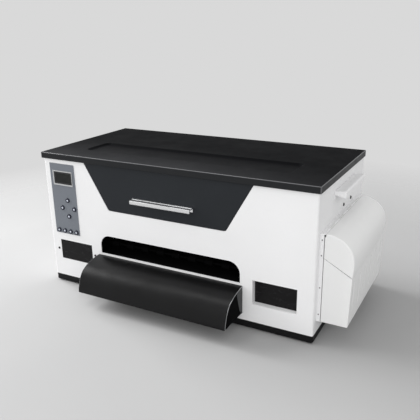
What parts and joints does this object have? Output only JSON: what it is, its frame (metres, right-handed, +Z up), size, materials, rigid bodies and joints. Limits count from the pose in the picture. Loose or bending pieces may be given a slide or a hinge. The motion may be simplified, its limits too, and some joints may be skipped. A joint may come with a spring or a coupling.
{
  "type": "desktop film printer",
  "caption": "Desktop roll-fed film printer: white case, black lifting lid with front flap, curved output guide under a wide film outlet, side ink tank unit with hinged cover.",
  "frame": {"origin": "centre of the bounding box in X and Y, at the height of the feet's underside", "axes": "+X to the machine's right seen from the front, +Y to the back, +Z up; the front with the film outlet looks to -Y"},
  "size_m": [0.786, 0.4282, 0.3397],
  "materials": {
    "white_sheet": "semi-gloss white powder coat",
    "black_sheet": "satin black powder coat",
    "lid_black": "near-black satin coat",
    "slate_sheet": "dark slate satin coat",
    "tank_white": "fine-grained moulded white plastic",
    "panel_film": "blue-grey matt printed film",
    "bezel_grey": "light grey moulded plastic",
    "dark_pane": "dark tinted gloss sheet",
    "screen_black": "switched-off screen, gloss cover",
    "key_dark": "dark moulded keys with a pale centre",
    "board_green": "circuit board with solder mask",
    "pull_alu": "brushed clear anodised",
    "plated_steel": "zinc plated sheet",
    "bright_steel": "ground and polished",
    "roller_steel": "fine ground with a grit coat",
    "black_plastic": "fine-grained black moulding",
    "black_rubber": "matt rubber",
    "grey_rubber": "ground grey rubber",
    "black_screw": "blackened steel",
    "tank_clear": "milky translucent plastic",
    "acetal": "natural acetal",
    "head_metal": "nickel plated"
  },
  "bodies": {
    "case": {"base_tray": "black_sheet", "rubber_feet": "black_rubber", "front_panel": "white_sheet", "left_side_panel": "white_sheet", "right_side_panel": "white_sheet", "rear_panel": "white_sheet", "control_plate": "panel_film", "screen_bezel": "bezel_grey", "screen": "screen_black", "key_board": "board_green", "left_window_pane": "dark_pane", "right_window_recess": "white_sheet", "right_window_pane": "dark_pane", "case_screws": "black_screw", "output_guide": "black_sheet", "guide_brackets": "black_sheet", "mechanism_side_plates": "plated_steel", "cross_beam": "plated_steel", "platen": "black_plastic", "guide_rod": "bright_steel", "rear_rail": "plated_steel", "drive_belt": "black_rubber", "drive_motors": "black_screw", "pinch_bracket": "black_plastic", "capping_unit": "black_plastic", "spindle_brackets": "plated_steel", "power_supply": "plated_steel", "main_board": "board_green", "fan_frame": "black_plastic", "power_inlet": "black_plastic", "carry_handles": "tank_white", "hinge_fixed_leaves": "plated_steel", "tank_plate": "white_sheet", "tank_housing": "tank_white", "ink_reservoirs": "tank_clear", "ink_manifold": "black_plastic"},
    "lid": {"lid_shell": "lid_black", "front_flap": "slate_sheet", "lid_pull": "pull_alu", "hinge_moving_leaves": "plated_steel"},
    "tank_cover": {"tank_cover": "tank_white"},
    "carriage": {"print_carriage": "black_plastic", "print_head": "head_metal"},
    "motor_pulley": {"motor_pulley": "plated_steel"},
    "idler_pulley": {"idler_pulley": "acetal"},
    "feed_roller": {"feed_roller": "roller_steel"},
    "feed_pinion": {"feed_pinion": "acetal"},
    "pinch_rollers": {"pinch_rollers": "grey_rubber"},
    "exit_roller": {"exit_roller": "grey_rubber"},
    "film_spindle": {"film_spindle": "black_plastic"},
    "fan_rotor": {"fan_rotor": "black_plastic"},
    "power_switch": {"power_switch": "black_plastic"},
    "key_up": {"key_up": "key_dark"},
    "key_left": {"key_left": "key_dark"},
    "key_right": {"key_right": "key_dark"},
    "key_down": {"key_down": "key_dark"},
    "row_key_1": {"row_key_1": "key_dark"},
    "row_key_2": {"row_key_2": "key_dark"},
    "row_key_3": {"row_key_3": "key_dark"},
    "row_key_4": {"row_key_4": "key_dark"}
  },
  "joints": [
    {"name": "lid_hinge", "type": "hinge", "parent": "case", "child": "lid", "pos_m": [-0.02215, 0.2101, 0.3305], "axis": [-1, 0, 0], "range_deg": [0, 75]},
    {"name": "tank_cover_hinge", "type": "hinge", "parent": "case", "child": "tank_cover", "pos_m": [0.33285, 0.0296, 0.2392], "axis": [0, -1, 0], "range_deg": [0, 75]},
    {"name": "carriage_slide", "type": "slide", "parent": "case", "child": "carriage", "axis": [-1, 0, 0], "range_m": [0, 0.46]},
    {"name": "motor_pulley_spin", "type": "hinge", "parent": "case", "child": "motor_pulley", "pos_m": [0.27785, 0.0226, 0.183], "axis": [0, 1, 0], "range_deg": [0, 3200]},
    {"name": "idler_pulley_spin", "type": "hinge", "parent": "case", "child": "idler_pulley", "pos_m": [-0.32215, 0.0226, 0.183], "axis": [0, 1, 0], "range_deg": [0, 3200]},
    {"name": "feed_roller_spin", "type": "hinge", "parent": "case", "child": "feed_roller", "pos_m": [-0.02215, 0.0196, 0.115], "axis": [1, 0, 0], "continuous": true},
    {"name": "feed_pinion_spin", "type": "hinge", "parent": "case", "child": "feed_pinion", "pos_m": [-0.35115, 0.0559, 0.115], "axis": [1, 0, 0], "continuous": true},
    {"name": "pinch_rollers_spin", "type": "hinge", "parent": "case", "child": "pinch_rollers", "pos_m": [-0.02215, 0.0196, 0.1294], "axis": [1, 0, 0], "continuous": true},
    {"name": "exit_roller_spin", "type": "hinge", "parent": "case", "child": "exit_roller", "pos_m": [-0.02215, -0.0824, 0.113], "axis": [1, 0, 0], "continuous": true},
    {"name": "film_spindle_spin", "type": "hinge", "parent": "case", "child": "film_spindle", "pos_m": [-0.02215, 0.1376, 0.218], "axis": [1, 0, 0], "continuous": true},
    {"name": "fan_spin", "type": "hinge", "parent": "case", "child": "fan_rotor", "pos_m": [-0.29215, 0.1946, 0.153], "axis": [0, 1, 0], "continuous": true},
    {"name": "power_switch_rock", "type": "hinge", "parent": "case", "child": "power_switch", "pos_m": [-0.08715, 0.2038, 0.081], "axis": [1, 0, 0], "range_deg": [0, 12]},
    {"name": "key_up_press", "type": "slide", "parent": "case", "child": "key_up", "axis": [0, 1, 0], "range_m": [0, 0.001], "stiffness_N_per_m": 300},
    {"name": "key_left_press", "type": "slide", "parent": "case", "child": "key_left", "axis": [0, 1, 0], "range_m": [0, 0.001], "stiffness_N_per_m": 300},
    {"name": "key_right_press", "type": "slide", "parent": "case", "child": "key_right", "axis": [0, 1, 0], "range_m": [0, 0.001], "stiffness_N_per_m": 300},
    {"name": "key_down_press", "type": "slide", "parent": "case", "child": "key_down", "axis": [0, 1, 0], "range_m": [0, 0.001], "stiffness_N_per_m": 300},
    {"name": "row_key_1_press", "type": "slide", "parent": "case", "child": "row_key_1", "axis": [0, 1, 0], "range_m": [0, 0.001], "stiffness_N_per_m": 300},
    {"name": "row_key_2_press", "type": "slide", "parent": "case", "child": "row_key_2", "axis": [0, 1, 0], "range_m": [0, 0.001], "stiffness_N_per_m": 300},
    {"name": "row_key_3_press", "type": "slide", "parent": "case", "child": "row_key_3", "axis": [0, 1, 0], "range_m": [0, 0.001], "stiffness_N_per_m": 300},
    {"name": "row_key_4_press", "type": "slide", "parent": "case", "child": "row_key_4", "axis": [0, 1, 0], "range_m": [0, 0.001], "stiffness_N_per_m": 300}
  ],
  "couplings": [
    {"joint": "motor_pulley_spin", "follows": "carriage_slide", "rad_per_m": 120.48},
    {"joint": "idler_pulley_spin", "follows": "carriage_slide", "rad_per_m": 120.48},
    {"joint": "feed_pinion_spin", "follows": "feed_roller_spin", "ratio": -5},
    {"joint": "pinch_rollers_spin", "follows": "feed_roller_spin", "ratio": -1.8},
    {"joint": "exit_roller_spin", "follows": "feed_roller_spin", "ratio": 1.125}
  ]
}
